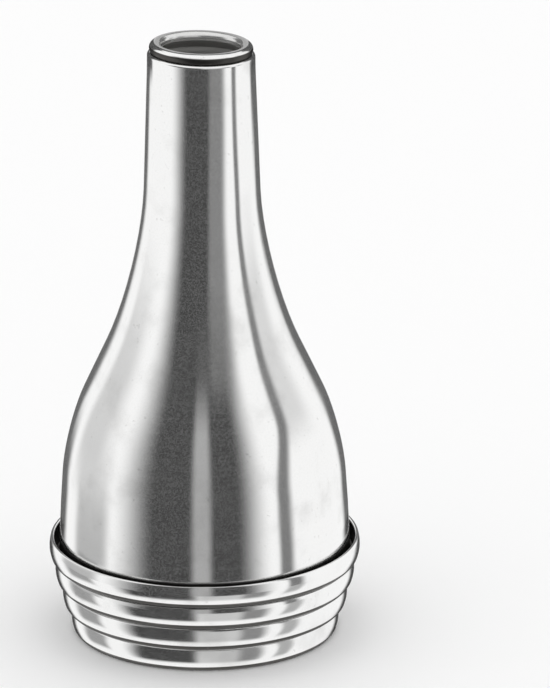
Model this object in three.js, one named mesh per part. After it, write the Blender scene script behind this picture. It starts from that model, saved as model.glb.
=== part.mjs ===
// Nest of four graded ear specula, standing on their mouths with the tips up.
// Each speculum is one piece of spun sheet metal: an oval tip whose rolled-in bead stands a little in
// from a slim neck, a bell, and a rim curled outwards and up again round an open channel.
// The next smaller speculum sits inside, one rim lower, and its lip carries the curl above it.
// Lengths are millimetres, +Z is up, and the origin is on the table in the middle of the nest.
import * as THREE from "three";
import { mergeVertices } from "three/addons/utils/BufferGeometryUtils.js";

// The sheet, and how the specula fit over each other
const SHEET_THICKNESS = 0.25;
const NEST_CLEARANCE = 0.2;
const SEAT_CLEARANCE = 0.1;
const TIP_CLEARANCE = 0.4;

// Outside of the largest speculum, from the tip down: the corners that its bends round off
const TIP_RADIUS = 3.48;
const NECK_RADIUS = 3.97;
const SHOULDER_RADIUS = 8.95;
const MOUTH_RADIUS = 9.38;
const NECK_LENGTH = 15.4;
const CONE_LENGTH = 10.9;
const BELL_LENGTH = 7;
const MOUTH_LENGTH = 1.8;
const NECK_BEND_RADIUS = 27.5;
const SHOULDER_BEND_RADIUS = 15.6;
const MOUTH_BEND_RADIUS = 60;

// The oval tip: how much each half of the depth falls short of the width, and where that has faded out
const OVAL_FLATTENING = 0.7;
const OVAL_LENGTH = 26;

// Bead at the tip of the largest speculum, and each size's bead as a share of it, smallest first.
// It stands in from the neck, whose rounded edge meets it in a fine groove.
const BEAD_WIDTH = 0.78;
const beadShares = [0.7, 0.8, 0.9, 1];
const BEAD_INSET = 0.13;
const NECK_EDGE_RADIUS = 0.2;

// Curled rim: channel of the largest, each size's channel as a share of it, lip and ground foot.
// The lip bulges on a wide arc, which takes over from the curl where that still has this far to turn.
const CHANNEL_WIDTH = 0.31;
const channelShares = [0.87, 1.22, 1.26, 1];
const LIP_HEIGHT = 1.5;
const FOOT_WIDTH = 0.3;
const BULGE_RADIUS = 1.8;
const BULGE_TURN = Math.PI / 9;

// Facets round the axis, along each bend of the outline, and round the bead and the curl
const FACETS = 36;
const BEND_STEPS = 4;
const MOUTH_BEND_STEPS = 2;
const NECK_STEPS = 2;
const BEAD_STEPS = 6;
const EDGE_STEPS = 2;
const CHANNEL_STEPS = 3;
const LIP_STEPS = 2;
const BULGE_STEPS = 2;
const CURL_STEPS = 2;

const speculumCount = beadShares.length;
const nestStep = SHEET_THICKNESS + NEST_CLEARANCE;
const rimPitch = LIP_HEIGHT + SEAT_CLEARANCE;
const speculumLength = NECK_LENGTH + CONE_LENGTH + BELL_LENGTH + MOUTH_LENGTH;
const nestLength = speculumLength + (speculumCount - 1) * rimPitch;
const HALF_TURN = Math.PI;
const QUARTER_TURN = HALF_TURN / 2;

// A corner rounded off: a bend that starts and ends where a circle of that radius would touch both
// legs, and takes no more than half of either leg.
function bend(before, corner, after, radius, steps) {
  const back = before.clone().sub(corner);
  const onward = after.clone().sub(corner);
  const turn = HALF_TURN - back.angleTo(onward);
  const reach = Math.min(radius * Math.tan(turn / 2), back.length() / 2, onward.length() / 2);
  const start = corner.clone().add(back.setLength(reach));
  const end = corner.clone().add(onward.setLength(reach));
  return new THREE.QuadraticBezierCurve(start, corner, end).getPoints(steps);
}

// The outline that all four share, as points of radius and depth below the highest tip.
// The straight mouth runs on down to the table, so that each smaller speculum finds its own mouth on it.
function sharedOutline() {
  const shoulderDepth = NECK_LENGTH + CONE_LENGTH;
  const mouthDepth = shoulderDepth + BELL_LENGTH;
  const tip = new THREE.Vector2(TIP_RADIUS, 0);
  const neck = new THREE.Vector2(NECK_RADIUS, NECK_LENGTH);
  const shoulder = new THREE.Vector2(SHOULDER_RADIUS, shoulderDepth);
  const mouth = new THREE.Vector2(MOUTH_RADIUS, mouthDepth);
  const base = new THREE.Vector2(MOUTH_RADIUS, nestLength);
  const neckBend = bend(tip, neck, shoulder, NECK_BEND_RADIUS, BEND_STEPS);
  const straightNeck = new THREE.LineCurve(tip, neckBend[0]).getPoints(NECK_STEPS);
  return [
    ...straightNeck.slice(0, -1),
    ...neckBend,
    ...bend(neck, shoulder, mouth, SHOULDER_BEND_RADIUS, BEND_STEPS),
    ...bend(shoulder, mouth, base, MOUTH_BEND_RADIUS, MOUTH_BEND_STEPS),
    base,
  ];
}

const outline = sharedOutline();

// Radius of the shared outline at a depth, on the straight line between its neighbouring points.
function outlineRadius(depth) {
  const next = Math.max(1, outline.findIndex((point) => point.y >= depth));
  const above = outline[next - 1];
  const below = outline[next];
  const share = (depth - above.y) / (below.y - above.y);
  return THREE.MathUtils.lerp(above.x, below.x, share);
}

// Points of the shared outline between two depths, drawn in by a distance.
// They are given as radius and height above the speculum's own base.
function wallPoints(size, fromDepth, toDepth, inset) {
  const between = outline.map((point) => point.y).filter((depth) => depth > fromDepth && depth < toDepth);
  const depths = [fromDepth, ...between, toDepth];
  return depths.map((depth) => new THREE.Vector2(outlineRadius(depth) - inset, size.baseDepth - depth));
}

// Points along a circular arc of the profile, either way round.
function arcPoints(radius, height, arcRadius, startAngle, endAngle, steps) {
  const clockwise = endAngle < startAngle;
  const arc = new THREE.EllipseCurve(
    radius, height, arcRadius, arcRadius, startAngle, endAngle, clockwise,
  );
  return arc.getPoints(steps);
}

// What sets one size apart from the others: its number counts up from the smallest, innermost one.
function speculumSize(number) {
  const fromLargest = speculumCount - number;
  return {
    name: `speculum_size_${number}`,
    inset: fromLargest * nestStep,
    tipDepth: fromLargest * rimPitch,
    baseDepth: fromLargest * rimPitch + speculumLength,
    beadRadius: (BEAD_WIDTH * beadShares[number - 1]) / 2,
    channelWidth: CHANNEL_WIDTH * channelShares[number - 1],
  };
}

// Where the bead touches the neck's edge: the groove between them and the depth of the edge's round.
// Both rounds are full circles of the section that meet in one point.
function grooveBelowBead(size) {
  const reach = size.beadRadius + NECK_EDGE_RADIUS;
  const across = size.beadRadius + BEAD_INSET - NECK_EDGE_RADIUS;
  const drop = Math.sqrt(reach * reach - across * across);
  return {
    angle: Math.atan2(drop, across),
    edgeDepth: size.beadRadius + drop,
  };
}

// The rolled-in bead at the tip, solid, with its hem running down inside to just above the next tip.
// It goes from the hem's lower edge up and over the bead, into the groove and over the neck's edge.
function beadProfile(size) {
  const groove = grooveBelowBead(size);
  const outside = outlineRadius(size.tipDepth + groove.edgeDepth) - size.inset;
  const centre = outside - BEAD_INSET - size.beadRadius;
  const hemFace = centre - size.beadRadius;
  const hemLength = rimPitch - TIP_CLEARANCE;
  const hemStep = outside - SHEET_THICKNESS - hemFace;
  const hemEdge = Math.max(size.beadRadius, hemLength - hemStep);
  const bead = arcPoints(
    centre, speculumLength - size.beadRadius, size.beadRadius, HALF_TURN, -groove.angle, BEAD_STEPS,
  );
  const neckEdge = arcPoints(
    outside - NECK_EDGE_RADIUS, speculumLength - groove.edgeDepth, NECK_EDGE_RADIUS,
    HALF_TURN - groove.angle, 0, EDGE_STEPS,
  );
  return [
    new THREE.Vector2(hemFace, speculumLength - hemEdge),
    ...bead,
    ...neckEdge.slice(1),
  ];
}

// The wide arc of the lip's outside: its centre, and the angle at which the sheet's round edge ends it.
function lipBulge(centre, curlRadius, curlHeight) {
  const back = BULGE_RADIUS - curlRadius;
  const height = curlHeight + back * Math.sin(BULGE_TURN);
  const sheetRadius = BULGE_RADIUS - SHEET_THICKNESS / 2;
  return {
    centre: centre - back * Math.cos(BULGE_TURN),
    height,
    sheetRadius,
    endAngle: Math.asin((LIP_HEIGHT - SHEET_THICKNESS / 2 - height) / sheetRadius),
  };
}

// The curled rim: down into the channel, over the lip and round the outside to the inner wall.
// The curl is ground flat where the speculum stands on it.
function rimProfile(size) {
  const mouthRadius = outlineRadius(size.baseDepth) - size.inset;
  const channelRadius = size.channelWidth / 2;
  const curlRadius = channelRadius + SHEET_THICKNESS;
  const centre = mouthRadius + channelRadius;
  const footAngle = Math.asin(FOOT_WIDTH / 2 / curlRadius);
  const curlHeight = curlRadius * Math.cos(footAngle);
  const bulge = lipBulge(centre, curlRadius, curlHeight);
  const lipCentre = bulge.centre + bulge.sheetRadius * Math.cos(bulge.endAngle);
  const lipHeight = bulge.height + bulge.sheetRadius * Math.sin(bulge.endAngle);
  const channel = arcPoints(centre, curlHeight, channelRadius, -HALF_TURN, -BULGE_TURN, CHANNEL_STEPS);
  const lip = arcPoints(
    lipCentre, lipHeight, SHEET_THICKNESS / 2, HALF_TURN + bulge.endAngle, bulge.endAngle, LIP_STEPS,
  );
  const outside = arcPoints(
    bulge.centre, bulge.height, BULGE_RADIUS, bulge.endAngle, -BULGE_TURN, BULGE_STEPS,
  );
  const curl = arcPoints(
    centre, curlHeight, curlRadius, -BULGE_TURN, footAngle - QUARTER_TURN, CURL_STEPS,
  );
  const inside = arcPoints(
    centre, curlHeight, curlRadius, -footAngle - QUARTER_TURN, -HALF_TURN, CURL_STEPS,
  );
  return [...channel, ...lip, ...outside.slice(1), ...curl.slice(1), ...inside];
}

// The whole section of one speculum, closed on itself, in the order that turns its faces outwards.
function speculumProfile(size) {
  const bead = beadProfile(size);
  const rim = rimProfile(size);
  const curlDepth = size.baseDepth - rim[0].y;
  const neckTop = size.tipDepth + grooveBelowBead(size).edgeDepth;
  const hemEnd = size.tipDepth + rimPitch - TIP_CLEARANCE;
  const outerWall = wallPoints(size, neckTop, curlDepth, size.inset);
  const innerWall = wallPoints(size, hemEnd, curlDepth, size.inset + SHEET_THICKNESS);
  const section = [
    ...outerWall.slice(0, -1),
    ...rim,
    ...innerWall.reverse().slice(1),
    ...bead,
  ];
  return section.reverse();
}

// The round funnel is drawn in from front to back, most at the tip and not at all in the bell.
function makeOval(geometry, size) {
  const position = geometry.attributes.position;
  for (let index = 0; index < position.count; index += 1) {
    const x = position.getX(index);
    const y = position.getY(index);
    const depth = size.baseDepth - position.getZ(index);
    const fade = THREE.MathUtils.smoothstep(depth, 0, OVAL_LENGTH);
    const radius = Math.hypot(x, y);
    const flattening = OVAL_FLATTENING * (1 - fade);
    position.setY(index, (y * (radius - flattening)) / radius);
  }
}

function speculum(number) {
  const size = speculumSize(number);
  const turned = new THREE.LatheGeometry(speculumProfile(size), FACETS);
  turned.rotateX(QUARTER_TURN);
  makeOval(turned, size);
  turned.deleteAttribute("normal");
  turned.deleteAttribute("uv");
  const geometry = mergeVertices(turned);
  geometry.computeVertexNormals();
  const polishedMetal = new THREE.MeshStandardMaterial({ color: 0xcfd1d3, metalness: 1, roughness: 0.12 });
  const mesh = new THREE.Mesh(geometry, polishedMetal);
  mesh.name = size.name;
  mesh.position.z = nestLength - size.baseDepth;
  return mesh;
}

const nest = new THREE.Group();
for (let number = 1; number <= speculumCount; number += 1) {
  nest.add(speculum(number));
}

export default nest;
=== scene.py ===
import math
from typing import NamedTuple

import bmesh
import bpy
from bpy.props import FloatProperty, FloatVectorProperty, PointerProperty
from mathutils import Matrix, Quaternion, Vector


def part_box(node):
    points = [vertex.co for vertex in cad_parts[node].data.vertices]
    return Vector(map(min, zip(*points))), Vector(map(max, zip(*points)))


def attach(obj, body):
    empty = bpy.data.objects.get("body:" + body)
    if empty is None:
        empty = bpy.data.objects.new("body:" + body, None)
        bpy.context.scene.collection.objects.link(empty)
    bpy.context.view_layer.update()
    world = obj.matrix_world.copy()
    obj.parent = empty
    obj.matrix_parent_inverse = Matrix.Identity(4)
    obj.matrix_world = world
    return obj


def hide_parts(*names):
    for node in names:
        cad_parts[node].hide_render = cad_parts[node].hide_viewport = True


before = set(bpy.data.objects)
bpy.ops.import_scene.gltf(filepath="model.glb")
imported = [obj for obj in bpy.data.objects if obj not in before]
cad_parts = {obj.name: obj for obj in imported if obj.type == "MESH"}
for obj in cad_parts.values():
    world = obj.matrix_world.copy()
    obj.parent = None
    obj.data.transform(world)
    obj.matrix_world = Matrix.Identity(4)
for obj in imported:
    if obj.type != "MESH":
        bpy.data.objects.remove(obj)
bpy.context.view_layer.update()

bl_info = {
    "name": "Nested ear specula",
    "version": (1, 0, 0),
    "blender": (4, 5, 0),
    "location": "View3D > Sidebar > Specula",
    "description": "Builds a nest of four spun metal ear specula and a pale studio round it",
    "category": "Add Mesh",
}

# Units, turns in radians, a circle in degrees, and the sizes that come from the solids
MM = 0.001
HALF_TURN = math.pi
QUARTER_TURN = HALF_TURN / 2
FULL_CIRCLE = 360
SPECULA = sorted(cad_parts)
NEST_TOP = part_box(SPECULA[-1])[1].z
RIM_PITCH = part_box(SPECULA[1])[0].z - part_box(SPECULA[0])[0].z

# The photograph's size in pixels, the pixel in the middle of the tip, and pixels to the millimetre
PHOTO_SIZE = (550, 688)
PHOTO_TIP = (201.1, 48)
PHOTO_SCALE = 15.61

# Each size's bead and channel as shares of the largest one's, smallest first
BEAD_SHARES = (0.7, 0.8, 0.9, 1.0)
CHANNEL_SHARES = (0.87, 1.22, 1.26, 1.0)

# How finely the walls, their bends, their round edges and the turning are divided, how close points
# are merged, and the angle from which an edge is sharp
LONG_LEG = 1.5 * MM
WALL_CUTS = 5
BEND_STEPS = 10
ROUND_STEPS = 10
TURN_STEPS = 160
MERGE_DISTANCE = 0.0001 * MM
SHARP_ANGLE = math.radians(35)

# How much of the lip's wide arc, below its widest, is free of painted shade, and how far the painted
# shade climbs the bead
UNSHADED_ARC_SHARE = 0.85
SHADED_BEAD_SHARE = 0.22

# The two walls of a section
OUTER, INNER = 1, 2


def length(name, description, millimetres):
    return FloatProperty(
        name=name, description=description, default=millimetres * MM, min=0.0, unit="LENGTH"
    )


def share(name, description, default):
    return FloatProperty(
        name=name, description=description, default=default, min=0.0, max=1.0, subtype="FACTOR"
    )


def angle(name, description, degrees):
    return FloatProperty(
        name=name, description=description, default=math.radians(degrees), unit="ROTATION"
    )


def colour(name, description, default):
    return FloatVectorProperty(
        name=name, description=description, default=default, subtype="COLOR", min=0.0, max=1.0
    )


class SpeculumSizes(bpy.types.PropertyGroup):
    """Sizes of the spun funnels, the same as in the solids."""

    sheet: length("Sheet", "Thickness of the spun sheet", 0.25)
    nest_clearance: length("Nest clearance", "Gap between one wall and the next", 0.2)
    tip_clearance: length("Tip clearance", "Gap between a hem and the tip below it", 0.4)
    tip_radius: length("Tip radius", "Outside of the largest neck at its tip, the long way", 3.48)
    neck_radius: length("Neck radius", "Corner where the neck turns into the cone", 3.97)
    shoulder_radius: length("Shoulder radius", "Corner where the cone turns into the bell", 8.95)
    mouth_radius: length("Mouth radius", "Outside of the largest mouth", 9.38)
    neck_length: length("Neck length", "From the tip to the neck's corner", 15.4)
    cone_length: length("Cone length", "From the neck's corner to the shoulder's", 10.9)
    bell_length: length("Bell length", "From the shoulder's corner to the mouth's", 7.0)
    neck_bend: length("Neck bend", "Radius that rounds the neck's corner", 27.5)
    shoulder_bend: length("Shoulder bend", "Radius that rounds the shoulder's corner", 15.6)
    mouth_bend: length("Mouth bend", "Radius that rounds the mouth's corner", 60.0)
    oval_flattening: length("Oval flattening", "How far the tip's half depth falls short", 0.7)
    oval_length: length("Oval length", "Depth below the tip where the oval has faded", 26.0)
    bead_width: length("Bead width", "Rolled-in bead of the largest tip", 0.78)
    bead_inset: length("Bead inset", "How far the bead stands in from the neck", 0.13)
    neck_edge: length("Neck edge", "Radius of the neck's edge below the bead", 0.2)
    channel_width: length("Channel width", "Open channel behind the largest lip", 0.31)
    lip_height: length("Lip height", "From the foot to the top of the curled lip", 1.5)
    foot_width: length("Foot width", "Flat that is ground on the curl", 0.3)
    bulge_radius: length("Bulge radius", "Wide arc of the lip's outside", 1.8)
    bulge_turn: angle("Bulge turn", "Turn left in the curl where the wide arc takes over", 20)


class PlateFinish(bpy.types.PropertyGroup):
    """Colours and polish of the plated sheet."""

    plate: colour("Plate", "Colour of the polished plate", (0.88, 0.88, 0.875))
    tarnish: colour("Tarnish", "Colour of the plate where it has dulled", (0.3, 0.295, 0.285))
    # Painted shade: near black, laid in the channels, under the curls and round the bead's outside
    grime: colour("Grime", "Colour of old polish left in the grooves", (0.075, 0.072, 0.068))
    dark_inside: colour("Dark inside", "Colour of the unpolished inside", (0.4, 0.395, 0.385))
    polish: share("Polish", "Roughness of the polished outside", 0.1)
    satin: share("Satin", "Roughness of the unpolished inside", 0.34)


class StudioLook(bpy.types.PropertyGroup):
    """The pale table, the walls of light and the camera."""

    table: colour("Table", "Colour of the table", (0.97, 0.97, 0.97))
    azimuth: angle("Azimuth", "Bearing of the camera round the nest", 12)
    elevation: angle("Elevation", "Height of the camera above the horizon", 20)
    lean: angle("Lean", "How far the drawing leans to the left", 0.35)
    lens: FloatProperty(
        name="Lens", description="Focal length, long enough for a drawing's flat view",
        default=1200.0, unit="CAMERA",
    )
    tube_radius: length("Tube radius", "Distance of the close tube of light", 15)
    tent_radius: length("Tent radius", "Distance of the wide tent of light", 1000)


class Value:
    """A socket that can be used in Python sums, each of which adds its Math node."""

    def __init__(self, shader, socket):
        self.shader = shader
        self.socket = socket

    def __add__(self, other):
        return self.shader.math("ADD", self, other)

    def __sub__(self, other):
        return self.shader.math("SUBTRACT", self, other)

    def __rsub__(self, other):
        return self.shader.math("SUBTRACT", other, self)

    def __mul__(self, other):
        return self.shader.math("MULTIPLY", self, other)

    def __truediv__(self, other):
        return self.shader.math("DIVIDE", self, other)

    __radd__ = __add__
    __rmul__ = __mul__


class Shader:
    """A material's node tree, with one method that adds any node."""

    def __init__(self, name):
        self.material = bpy.data.materials.new(name)
        self.material.use_nodes = True
        self.tree = self.material.node_tree
        self.tree.nodes.clear()

    def node(self, kind, settings=None, *inputs, **named):
        """Adds a node, sets its settings and then its sockets, by order or by name."""
        node = self.tree.nodes.new(kind)
        for key, value in (settings or {}).items():
            setattr(node, key, value)
        for index, value in enumerate(inputs):
            self.feed(node.inputs[index], value)
        for key, value in named.items():
            self.feed(node.inputs[key.replace("_", " ").title()], value)
        return node

    def add(self, kind, settings=None, *inputs, **named):
        """Adds a node and gives its first output."""
        return Value(self, self.node(kind, settings, *inputs, **named).outputs[0])

    def math(self, operation, *inputs):
        """Adds a Math node and gives its result."""
        return self.add("ShaderNodeMath", {"operation": operation}, *inputs)

    def feed(self, socket, value):
        if isinstance(value, Value):
            self.tree.links.new(value.socket, socket)
        else:
            socket.default_value = value

    def output(self, node, name):
        return Value(self, node.outputs[name])

    def attribute(self, name):
        node = self.node("ShaderNodeAttribute", {"attribute_name": name})
        return self.output(node, "Fac")

    def object_position(self):
        """The point in object coordinates, and its X, Y and Z."""
        position = self.output(self.node("ShaderNodeTexCoord"), "Object")
        axes = self.node("ShaderNodeSeparateXYZ", None, position)
        return position, *(self.output(axes, axis) for axis in "XYZ")

    def smooth_step(self, value, low, high):
        """Rises from nought at low to one at high."""
        ramp = self.node("ShaderNodeMapRange", {"interpolation_type": "SMOOTHSTEP"}, value, low, high)
        return self.output(ramp, "Result")

    def window(self, value, low, high, fade_in, fade_out):
        """One between low and high, fading to nought over the widths inside each end."""
        rise = self.smooth_step(value, low, low + fade_in)
        return rise * (1 - self.smooth_step(value, high - fade_out, high))

    def mix(self, factor, first, second):
        """Mixes two colours."""
        node = self.node("ShaderNodeMix", {"data_type": "RGBA"}, factor)
        colours = [socket for socket in node.inputs if socket.type == "RGBA"]
        self.feed(colours[0], first)
        self.feed(colours[1], second)
        blended = [socket for socket in node.outputs if socket.type == "RGBA"]
        return Value(self, blended[0])

    def finish(self, surface):
        self.node("ShaderNodeOutputMaterial", None, surface)
        return self.material


def rgba(value):
    return (*value, 1.0)


class Noise(NamedTuple):
    """A pattern in the plate: features to the metre, finer layers, and its pace round the axis."""

    scale: float
    detail: float
    pace: float = 0.0


class Mark(NamedTuple):
    """A mark on the plate: where its pattern starts to show and shows in full, and what it adds."""

    start: float
    full: float
    film: float = 0.0
    tarnish: float = 0.0
    roughness: float = 0.0
    relief: float = 0.0


# The patterns of the spun and polished sheet, and of its age
SPIN_LINES = Noise(9000.0, 3.0, 1.6)
HAIRLINES = Noise(26000.0, 2.0, 5.0)
SMUDGES = Noise(320.0, 5.0)
WAVES = Noise(210.0, 1.0)
PITS = Noise(2600.0, 4.0)
GRAIN = Noise(9500.0, 2.0)

# The marks that show where a pattern is strong
LINED = Mark(0.45, 0.75, film=0.015)
GRAINY = Mark(0.4, 0.65, film=0.055)
HAZY = Mark(0.48, 0.75, film=0.02, tarnish=0.22)
SMUDGED = Mark(0.42, 0.72, roughness=0.05)
PITTED = Mark(0.66, 0.74, tarnish=0.2)
# Where this mark shows, shade is painted near black and the plate is dulled
SHADED_AND_DULL = Mark(0.55, 1.15, roughness=0.25)
RUBBED = Mark(0.75, 1.4, roughness=0.06, relief=0.5)

# How far the smudges break up the painted shade, and the hairlines the worn edges
SMUDGES_IN_PAINTED_SHADE = 0.6
HAIRLINES_IN_WEAR = 0.8

# Relief of the lines and of the slow waves of the sheet
LINE_DEPTH = 0.0009 * MM
LINE_RELIEF = 0.7
HAIRLINE_RELIEF = 0.3
WAVE_DEPTH = 0.016 * MM

# Roughness that the lines add, and that the plate lacks between its marks, and the film on the inside
LINE_ROUGHNESS = 0.03
BRIGHT_BETWEEN = 0.015
INSIDE_FILM = 0.45


def plated_metal(finish):
    """Polished plate on spun sheet: lines round the axis, smudges, painted shade and dullness in the
    grooves, and rubbed edges.
    """
    shader = Shader("polished_plate")
    position, x, y, z = shader.object_position()
    radius = shader.math("SQRT", x * x + y * y)
    grime = shader.attribute("grime")
    wear = shader.attribute("wear")
    inside = shader.attribute("inside")

    def noise(pattern):
        """Noise that is the same in every direction."""
        return shader.add(
            "ShaderNodeTexNoise", None, position, scale=pattern.scale, detail=pattern.detail
        )

    def spun_noise(pattern):
        """Noise that changes slowly round the axis and fast along it."""
        place = shader.add(
            "ShaderNodeCombineXYZ", None,
            x / radius * pattern.pace, y / radius * pattern.pace, z * pattern.scale,
        )
        return shader.add("ShaderNodeTexNoise", None, place, scale=1.0, detail=pattern.detail)

    def shown(pattern, mark):
        """Nought where a mark doesn't show, and one where it shows in full."""
        return shader.smooth_step(pattern, mark.start, mark.full)

    lines = spun_noise(SPIN_LINES)
    hairlines = spun_noise(HAIRLINES)
    smudges = noise(SMUDGES)
    lined = shown(lines, LINED)
    grainy = shown(noise(GRAIN), GRAINY)
    hazy = shown(smudges, HAZY)
    smudged = shown(smudges, SMUDGED)
    pitted = shown(noise(PITS), PITTED)
    # Painted shade in the channels, under the curls and round the bead, broken up by the smudges; it
    # also dulls the plate
    shaded_and_dull = shown(grime + smudges * SMUDGES_IN_PAINTED_SHADE, SHADED_AND_DULL)
    rubbed = shown(wear + hairlines * HAIRLINES_IN_WEAR, RUBBED)

    film = grainy * GRAINY.film + hazy * HAZY.film + lined * LINED.film + inside * INSIDE_FILM
    base = shader.mix(inside, rgba(finish.plate), rgba(finish.dark_inside))
    base = shader.mix(hazy * HAZY.tarnish, base, rgba(finish.tarnish))
    # Near-black painted shade
    base = shader.mix(shaded_and_dull, base, rgba(finish.grime))
    base = shader.mix(pitted * PITTED.tarnish, base, rgba(finish.tarnish))
    roughness = (
        smudged * SMUDGED.roughness + lines * LINE_ROUGHNESS + rubbed * RUBBED.roughness
        + shaded_and_dull * SHADED_AND_DULL.roughness + inside * (finish.satin - finish.polish)
        + (finish.polish - BRIGHT_BETWEEN)
    )
    relief = lines * LINE_RELIEF + hairlines * HAIRLINE_RELIEF + rubbed * RUBBED.relief
    fine = shader.add("ShaderNodeBump", None, 1.0, LINE_DEPTH, height=relief)
    normal = shader.add("ShaderNodeBump", None, 1.0, WAVE_DEPTH, height=noise(WAVES), normal=fine)
    surface = shader.add(
        "ShaderNodeBsdfPrincipled", None,
        base_color=base, metallic=1 - film, roughness=roughness, normal=normal,
    )
    return shader.finish(surface)


class Section:
    """A wire in the plane of X and Z, drawn from point to point, that is then turned on the axis."""

    # The first mark paints shade; the others are wear and the unpolished inside
    MARKS = ("grime", "wear", "inside")

    def __init__(self):
        self.mesh = bmesh.new()
        self.layers = {key: self.mesh.verts.layers.float.new(key) for key in self.MARKS}
        self.wall_layer = self.mesh.verts.layers.float.new("wall")
        self.end = None

    def mark(self, vert, marks):
        """Marks a point for the finish. Points that an operator makes from it take its marks over."""
        for key, layer in self.layers.items():
            vert[layer] = marks.get(key, 0.0)

    def line(self, radius, height, wall=0, **marks):
        """Draws a straight line from the wire's end to a point."""
        vert = self.mesh.verts.new((radius, 0, height))
        vert[self.wall_layer] = wall
        self.mark(vert, marks)
        if self.end:
            self.mesh.edges.new((self.end, vert))
        self.end = vert

    def arc(self, radius, height, turn, **marks):
        """Draws an arc from the wire's end about a centre, anticlockwise where the turn is positive."""
        before = {key: self.end[layer] for key, layer in self.layers.items()}
        self.mark(self.end, marks)
        made = bmesh.ops.spin(
            self.mesh, geom=[self.end], cent=(radius, 0, height), axis=(0, -1, 0), dvec=(0, 0, 0),
            angle=turn, steps=ROUND_STEPS, use_merge=False, use_normal_flip=False,
            use_duplicate=False,
        )
        self.mark(self.end, before)
        self.end = made["geom_last"][0]

    def wall_points(self, number):
        """The points of one wall, from the top down."""
        points = [vert for vert in self.mesh.verts if round(vert[self.wall_layer]) == number]
        return sorted(points, key=lambda vert: -vert.co.z)

    def wall(self, number, sizes, inset, top, bottom, **marks):
        """Draws the wall that all four share, drawn in by an inset, between two heights."""
        height = NEST_TOP
        self.end = None
        self.line(sizes.tip_radius - inset, height, number, **marks)
        corners = []
        for radius, drop, bend in (
            (sizes.neck_radius, sizes.neck_length, sizes.neck_bend),
            (sizes.shoulder_radius, sizes.cone_length, sizes.shoulder_bend),
            (sizes.mouth_radius, sizes.bell_length, sizes.mouth_bend),
        ):
            height -= drop
            self.line(radius - inset, height, number, **marks)
            corners.append((self.end, bend))
        self.line(sizes.mouth_radius - inset, 0, number, **marks)
        for vert, bend in corners:
            bmesh.ops.bevel(
                self.mesh, geom=[vert], affect="VERTICES", offset_type="OFFSET",
                offset=bend * math.tan(vert.calc_edge_angle(0) / 2), segments=BEND_STEPS,
                profile=0.5, material=-1,
            )
        edges = {edge for vert in self.wall_points(number) for edge in vert.link_edges}
        legs = [edge for edge in edges if edge.calc_length() > LONG_LEG]
        bmesh.ops.subdivide_edges(self.mesh, edges=legs, cuts=WALL_CUTS)
        for plane, clear in ((top, "clear_outer"), (bottom, "clear_inner")):
            points = self.wall_points(number)
            edges = {edge for vert in points for edge in vert.link_edges}
            bmesh.ops.bisect_plane(
                self.mesh, geom=[*points, *edges], dist=MERGE_DISTANCE, plane_co=(0, 0, plane),
                plane_no=(0, 0, 1), **{clear: True},
            )

    def turned(self):
        """Closes the wire and turns it on the axis."""
        mesh = self.mesh
        bmesh.ops.remove_doubles(mesh, verts=mesh.verts, dist=MERGE_DISTANCE)
        if any(len(vert.link_edges) != 2 for vert in mesh.verts):
            raise RuntimeError("a speculum's section isn't one closed line")
        bmesh.ops.spin(
            mesh, geom=[*mesh.verts, *mesh.edges], cent=(0, 0, 0), axis=(0, 0, 1), dvec=(0, 0, 0),
            angle=math.tau, steps=TURN_STEPS, use_merge=True, use_normal_flip=False,
            use_duplicate=False,
        )
        bmesh.ops.remove_doubles(mesh, verts=mesh.verts, dist=MERGE_DISTANCE)
        bmesh.ops.recalc_face_normals(mesh, faces=mesh.faces)
        return mesh


def draw_rim(section, sizes, start, foot, channel_radius):
    """The curled rim, from the outer wall through the channel and over the lip to the inner wall."""
    centre = start.co.x + channel_radius
    height = start.co.z
    curl_radius = channel_radius + sizes.sheet
    curl_turn = QUARTER_TURN - math.asin(sizes.foot_width / 2 / curl_radius)
    turn = sizes.bulge_turn
    back = sizes.bulge_radius - curl_radius
    bulge = (centre - back * math.cos(turn), height + back * math.sin(turn))
    lip_radius = sizes.sheet / 2
    sheet_radius = sizes.bulge_radius - lip_radius
    lip_turn = math.asin((foot + sizes.lip_height - lip_radius - bulge[1]) / sheet_radius)
    lip = (
        bulge[0] + sheet_radius * math.cos(lip_turn), bulge[1] + sheet_radius * math.sin(lip_turn)
    )
    section.end = start
    # The channel, the inside of the lip, the low end of its wide arc and the curl's underside get
    # painted shade; the lip's top and the foot get wear
    section.arc(centre, height, HALF_TURN - turn, grime=1.0)
    section.arc(*bulge, turn + lip_turn, grime=0.8)
    section.arc(*lip, -HALF_TURN, wear=0.7)
    section.arc(*bulge, -turn * UNSHADED_ARC_SHARE - lip_turn)
    section.arc(*bulge, -turn * (1 - UNSHADED_ARC_SHARE), grime=0.8)
    section.arc(centre, height, turn - curl_turn, grime=1.0)
    section.line(centre - sizes.foot_width / 2, foot, wear=1.0)
    section.arc(centre, height, -curl_turn, inside=0.4)


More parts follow.
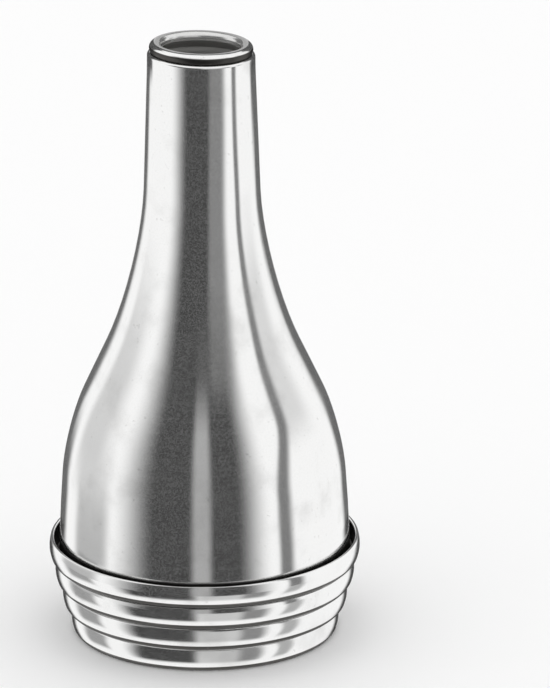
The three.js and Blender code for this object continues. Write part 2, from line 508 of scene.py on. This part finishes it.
def draw_bead(section, sizes, start, tip, bead_radius, groove_turn):
    """The rolled-in bead, from the neck's edge through the groove and over the top to its hem."""
    outside = start.co.x
    centre = outside - sizes.bead_inset - bead_radius
    hem_face = centre - bead_radius
    hem_length = RIM_PITCH - sizes.tip_clearance
    hem_edge = max(bead_radius, hem_length - (outside - sizes.sheet - hem_face))
    section.end = start
    section.arc(outside - sizes.neck_edge, start.co.z, HALF_TURN - groove_turn, wear=0.4)
    # The groove and the lower part of the bead's outside get painted shade, a dark ring round the tip
    section.arc(centre, tip - bead_radius, groove_turn, grime=1.0)
    section.arc(centre, tip - bead_radius, QUARTER_TURN * SHADED_BEAD_SHARE, grime=1.0)
    section.arc(centre, tip - bead_radius, QUARTER_TURN * (1 - SHADED_BEAD_SHARE), wear=0.5)
    section.arc(centre, tip - bead_radius, QUARTER_TURN, inside=0.3)
    section.line(hem_face, tip - hem_edge, inside=1.0)


def make_oval(mesh, sizes):
    """Draws the funnel in from front to back, most at the tip and not at all in the bell."""
    for vert in mesh.verts:
        down = min(1.0, (NEST_TOP - vert.co.z) / sizes.oval_length)
        flattening = sizes.oval_flattening * (1 - down * down * (3 - 2 * down))
        radius = math.hypot(vert.co.x, vert.co.y)
        vert.co.y *= (radius - flattening) / radius


def add_object(name, mesh, material):
    """Puts a finished mesh into the scene, at the origin, with its material."""
    data = bpy.data.meshes.new(name)
    mesh.to_mesh(data)
    mesh.free()
    data.materials.append(material)
    item = bpy.data.objects.new(name, data)
    bpy.context.scene.collection.objects.link(item)
    return item


def build_speculum(sizes, number, material):
    """One speculum, turned from its section, in the place of its solid."""
    name = SPECULA[number]
    foot, tip = (corner.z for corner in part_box(name))
    inset = (len(SPECULA) - 1 - number) * (sizes.sheet + sizes.nest_clearance)
    bead_radius = sizes.bead_width * BEAD_SHARES[number] / 2
    across = bead_radius + sizes.bead_inset - sizes.neck_edge
    drop = math.sqrt((bead_radius + sizes.neck_edge) ** 2 - across ** 2)
    channel_radius = sizes.channel_width * CHANNEL_SHARES[number] / 2
    curl_radius = channel_radius + sizes.sheet
    curl_height = foot + math.sqrt(curl_radius ** 2 - (sizes.foot_width / 2) ** 2)
    hem_height = tip - RIM_PITCH + sizes.tip_clearance
    section = Section()
    section.wall(OUTER, sizes, inset, tip - bead_radius - drop, curl_height)
    section.wall(INNER, sizes, inset + sizes.sheet, hem_height, curl_height, inside=1.0)
    outside = section.wall_points(OUTER)
    # Painted shade on the outer wall behind the lip
    for vert in outside:
        if vert.co.z < foot + sizes.lip_height:
            section.mark(vert, {"grime": 1.0})
    draw_rim(section, sizes, outside[-1], foot, channel_radius)
    draw_bead(section, sizes, outside[0], tip, bead_radius, math.atan2(drop, across))
    section.line(*section.wall_points(INNER)[0].co.xz, inside=1.0)
    mesh = section.turned()
    make_oval(mesh, sizes)
    for face in mesh.faces:
        face.smooth = True
    for edge in mesh.edges:
        edge.smooth = edge.calc_face_angle(0) < SHARP_ANGLE
    piece = add_object("polished_" + name, mesh, material)
    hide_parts(name)
    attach(piece, name)


class SPECULA_OT_add_nest(bpy.types.Operator):
    """Add the four specula, each turned from its own section"""

    bl_idname = "specula.add_nest"
    bl_label = "Add the nest"

    def execute(self, context):
        sizes = context.scene.speculum_sizes
        material = plated_metal(context.scene.plate_finish)
        for number in range(len(SPECULA)):
            build_speculum(sizes, number, material)
        return {"FINISHED"}


class Flag(NamedTuple):
    """A dark or grey card on a wall of light, with soft sides and ends. One that drifts also leans."""

    brightness: float
    bearings: tuple
    heights: tuple
    side_fades: tuple
    end_fades: tuple
    drifts: bool = False


# Two walls of light stand round the nest, white but for their flags: a close tube for the bells and
# the necks, and a wide tent for the rims, the tip's bead and what is lifted out of the tube. Bearings
# are in degrees from the camera's side, positive to its right, and a flag across the back counts them
# on past -180. Heights are in millimetres. Each fade is how wide that side or end of the flag is soft.
WHITE = 1.03
TUBE_FLAGS = (
    # Soft greys on the left of the bell, and a fainter one on its right
    Flag(0.70, (-104, -60), (7, 27), (10, 18), (7, 6)),
    Flag(0.62, (-97, -55), (-20, 17), (11, 11), (2, 10)),
    Flag(0.50, (-94, -57), (-20, 10), (10, 10), (2, 5)),
    Flag(0.76, (57, 98), (14, 28), (5, 20), (5, 4)),
    # The thin grey line on the right
    Flag(0.20, (42, 56), (-20, 60), (4, 6), (2, 6), drifts=True),
    # The broad dark band in front, its greyer side up the neck, and the grey stripe in it on the bell
    Flag(0.065, (-58, 40), (-20, 41), (30, 22), (2, 1)),
    Flag(0.24, (2, 36), (21, 41), (8, 14), (6, 1)),
    Flag(0.42, (-9, 6), (-20, 26), (5, 5), (2, 7)),
    # What darkens the outline, on the left and on the right
    Flag(0.14, (-158, -120), (-20, 41), (14, 11), (2, 1)),
    Flag(0.14, (-150, -105), (-20, 17), (14, 10), (2, 8)),
    Flag(0.14, (-150, -115), (4, 24), (14, 10), (8, 9)),
    Flag(0.14, (-150, -114), (20, 41), (14, 12), (10, 1)),
    Flag(0.14, (113, 158), (-20, 41), (10, 14), (2, 1)),
    Flag(0.14, (108, 150), (-20, 21), (10, 14), (2, 9)),
    Flag(0.14, (105, 150), (18, 41), (12, 14), (10, 1)),
    Flag(0.14, (98, 150), (26, 41), (10, 14), (8, 1)),
    # What darkens the tip's outline: both sides of the tube's high back, and the middle of it
    Flag(0.08, (-164, -104), (33, 56), (5, 10), (2, 1)),
    Flag(0.08, (104, 164), (33, 56), (10, 5), (2, 1)),
    Flag(0.45, (-200, -160), (33, 54), (5, 5), (2, 1)),
)
TENT_FLAGS = (
    # Grey on the left of the rims, the dark patch left of their middle, and the light patch in it
    Flag(0.36, (-130, -87), (-525, 200), (14, 10), (150, 175)),
    Flag(0.06, (-76, 0), (-650, 760), (22, 12), (175, 400)),
    Flag(0.62, (-8, 34), (-650, 760), (8, 14), (175, 400)),
    # The darker and the lighter grey on the right of the rims
    Flag(0.26, (21, 55), (-650, 700), (12, 12), (175, 375)),
    Flag(0.45, (61, 83), (-650, 650), (6, 8), (175, 400)),
    # What darkens the outline, on the left and on the right, and over the tip's far side
    Flag(0.06, (-178, -140), (-925, 760), (10, 14), (100, 600)),
    Flag(0.06, (140, 178), (-925, 760), (14, 10), (100, 600)),
    Flag(0.10, (-226, -134), (420, 950), (12, 12), (80, 60)),
)

# For a flag across the back, the bearings on the right from here on count on from the left
BACK_FROM = 90

# The thin line leans out by this many degrees up the bell and back by this many up the neck, each
# between two heights in millimetres
LINE_LEAN = 12
LINE_LEAN_HEIGHTS = (11, 20)
LINE_RETURN = 9
LINE_RETURN_HEIGHTS = (22, 34)

# The tube's foot and top, its top in front, which is lower so that the tip sees the tent over it, and
# the bearing at which its back begins
TUBE_FOOT = 4.3 * MM
TUBE_TOP = 54 * MM
TUBE_FRONT_TOP = 40 * MM
TUBE_BACK_BEARING = math.radians(98)

# How finely the walls of light are divided
TUBE_SEGMENTS = 128
TENT_SEGMENTS = 96
TENT_RINGS = 48


def camera_turn(look):
    """The camera's turn, from a camera that looks straight down with its top to the north."""
    return (
        Quaternion((0, 0, 1), look.azimuth) @ Quaternion((1, 0, 0), QUARTER_TURN - look.elevation)
        @ Quaternion((0, 0, 1), -look.lean)
    )


def bearing_of(shader, x, y, look):
    """Bearing of a point in degrees round the nest, from the camera's side."""
    sine, cosine = math.sin(look.azimuth), math.cos(look.azimuth)
    rightwards = x * cosine + y * sine
    nearer = x * sine - y * cosine
    return shader.math("ARCTAN2", rightwards, nearer) * math.degrees(1)


def line_lean(shader, height):
    """How many degrees the thin line has leant out at a height."""
    lean = shader.smooth_step(height, *LINE_LEAN_HEIGHTS) * LINE_LEAN
    return lean - shader.smooth_step(height, *LINE_RETURN_HEIGHTS) * LINE_RETURN


def flagged_light(name, flags, look):
    """White light with dark and grey flags, by bearing and height."""
    shader = Shader(name)
    _, x, y, z = shader.object_position()
    height = z / MM
    bearing = bearing_of(shader, x, y, look)
    across_back = bearing - shader.math("GREATER_THAN", bearing, BACK_FROM) * FULL_CIRCLE
    level = WHITE
    for flag in flags:
        heading = across_back if min(flag.bearings) < -FULL_CIRCLE / 2 else bearing
        if flag.drifts:
            heading = heading - line_lean(shader, height)
        shade = shader.window(heading, *flag.bearings, *flag.side_fades)
        shade = shade * shader.window(height, *flag.heights, *flag.end_fades)
        level = level * (1 - shade) + shade * flag.brightness
    return shader.finish(shader.add("ShaderNodeEmission", None, level, 1.0))


def show_only_in_reflections(item):
    """Hides a wall of light from every ray but those that the metal reflects."""
    for ray in ("camera", "diffuse", "shadow", "transmission", "volume_scatter"):
        setattr(item, "visible_" + ray, False)


def light_tube(look):
    """The close tube, cut down in front."""
    tube = bmesh.new()
    bmesh.ops.create_cone(
        tube, segments=TUBE_SEGMENTS, radius1=look.tube_radius, radius2=look.tube_radius,
        depth=TUBE_TOP - TUBE_FOOT, cap_ends=False,
    )
    bmesh.ops.translate(tube, verts=tube.verts, vec=(0, 0, (TUBE_TOP + TUBE_FOOT) / 2))
    bmesh.ops.bisect_plane(
        tube, geom=[*tube.verts, *tube.edges, *tube.faces], dist=MERGE_DISTANCE,
        plane_co=(0, 0, TUBE_FRONT_TOP), plane_no=(0, 0, 1),
    )
    nearer = Vector((math.sin(look.azimuth), -math.cos(look.azimuth), 0))
    back = look.tube_radius * math.cos(TUBE_BACK_BEARING)
    too_high = []
    for face in tube.faces:
        middle = face.calc_center_median()
        if middle.z > TUBE_FRONT_TOP and middle.dot(nearer) > back:
            too_high.append(face)
    bmesh.ops.delete(tube, geom=too_high, context="FACES")
    return tube


def light_tent(look):
    """The wide tent, all round."""
    tent = bmesh.new()
    bmesh.ops.create_uvsphere(
        tent, u_segments=TENT_SEGMENTS, v_segments=TENT_RINGS, radius=look.tent_radius
    )
    return tent


def add_light_walls(look):
    """The close tube and the wide tent, which only the polished metal sees."""
    walls = (
        ("light_tube", light_tube(look), TUBE_FLAGS),
        ("light_tent", light_tent(look), TENT_FLAGS),
    )
    for name, mesh, flags in walls:
        for face in mesh.faces:
            face.smooth = True
        wall = add_object(name, mesh, flagged_light(name, flags, look))
        show_only_in_reflections(wall)


# The table: its size, how far it lies under the foot, its squares along each side and its dull surface
TABLE_SIZE = 4000 * MM
TABLE_GAP = 0.01 * MM
TABLE_SQUARES = 8
TABLE_ROUGHNESS = 0.9


def add_table(look):
    """A plain pale table just under the foot. The metal shows the walls of light in its place."""
    shader = Shader("pale_table")
    surface = shader.add(
        "ShaderNodeBsdfPrincipled", None,
        base_color=rgba(look.table), roughness=TABLE_ROUGHNESS,
    )
    mesh = bmesh.new()
    bmesh.ops.create_grid(
        mesh, x_segments=TABLE_SQUARES, y_segments=TABLE_SQUARES, size=TABLE_SIZE / 2
    )
    bmesh.ops.translate(mesh, verts=mesh.verts, vec=(0, 0, -TABLE_GAP))
    table = add_object("pale_table", mesh, shader.finish(surface))
    table.visible_glossy = False


def add_light():
    """A plain white world, at the strength at which a colour renders as it is written."""
    world = bpy.data.worlds.new("studio_white")
    bpy.context.scene.world = world
    world.use_nodes = True
    background = world.node_tree.nodes["Background"]
    background.inputs["Color"].default_value = (1.0, 1.0, 1.0, 1.0)
    background.inputs["Strength"].default_value = 1.0


# How many times nearer and further than the nest the camera still sees
CLIP_REACH = 100


def add_camera(look, sizes):
    """Looks at the nest from the photograph's angle, so that the tip lies on its pixel.

    The sensor's width lies along the picture's longer side, its height.
    """
    turn = camera_turn(look)
    camera_data = bpy.data.cameras.new("camera")
    camera_data.lens = look.lens
    wide, high = PHOTO_SIZE
    tip = Vector((0, 0, NEST_TOP - sizes.bead_width / 2))
    offset = Vector((wide / 2 - PHOTO_TIP[0], PHOTO_TIP[1] - high / 2, 0)) * MM / PHOTO_SCALE
    distance = high * look.lens / camera_data.sensor_width / PHOTO_SCALE * MM
    offset.z = distance
    camera = bpy.data.objects.new("camera", camera_data)
    bpy.context.scene.collection.objects.link(camera)
    camera.rotation_mode = "QUATERNION"
    camera.rotation_quaternion = turn
    camera.location = tip + turn @ offset
    camera_data.clip_start = distance / CLIP_REACH
    camera_data.clip_end = distance * CLIP_REACH
    bpy.context.scene.camera = camera


class SPECULA_OT_add_studio(bpy.types.Operator):
    """Add the walls of light, the table, the light and the camera"""

    bl_idname = "specula.add_studio"
    bl_label = "Add the studio"

    def execute(self, context):
        look = context.scene.studio_look
        add_light_walls(look)
        add_table(look)
        add_light()
        add_camera(look, context.scene.speculum_sizes)
        context.scene.view_settings.view_transform = "Standard"
        return {"FINISHED"}


class SPECULA_PT_sidebar(bpy.types.Panel):
    """Lists the operators and the sizes and colours that they read"""

    bl_idname = "SPECULA_PT_sidebar"
    bl_label = "Nested ear specula"
    bl_space_type = "VIEW_3D"
    bl_region_type = "UI"
    bl_category = "Specula"

    def draw(self, context):
        for operator in OPERATORS:
            self.layout.operator(operator.bl_idname)
        for name, group in GROUPS.items():
            box = self.layout.box()
            for key in group.__annotations__:
                box.prop(getattr(context.scene, name), key)


GROUPS = {"speculum_sizes": SpeculumSizes, "plate_finish": PlateFinish, "studio_look": StudioLook}
OPERATORS = (SPECULA_OT_add_nest, SPECULA_OT_add_studio)
CLASSES = (*GROUPS.values(), *OPERATORS, SPECULA_PT_sidebar)


def register():
    for cls in CLASSES:
        bpy.utils.register_class(cls)
    for name, group in GROUPS.items():
        setattr(bpy.types.Scene, name, PointerProperty(type=group))


def unregister():
    for name in GROUPS:
        delattr(bpy.types.Scene, name)
    for cls in reversed(CLASSES):
        bpy.utils.unregister_class(cls)


def main():
    register()
    bpy.ops.specula.add_nest()
    bpy.ops.specula.add_studio()


if __name__ == "__main__":
    main()
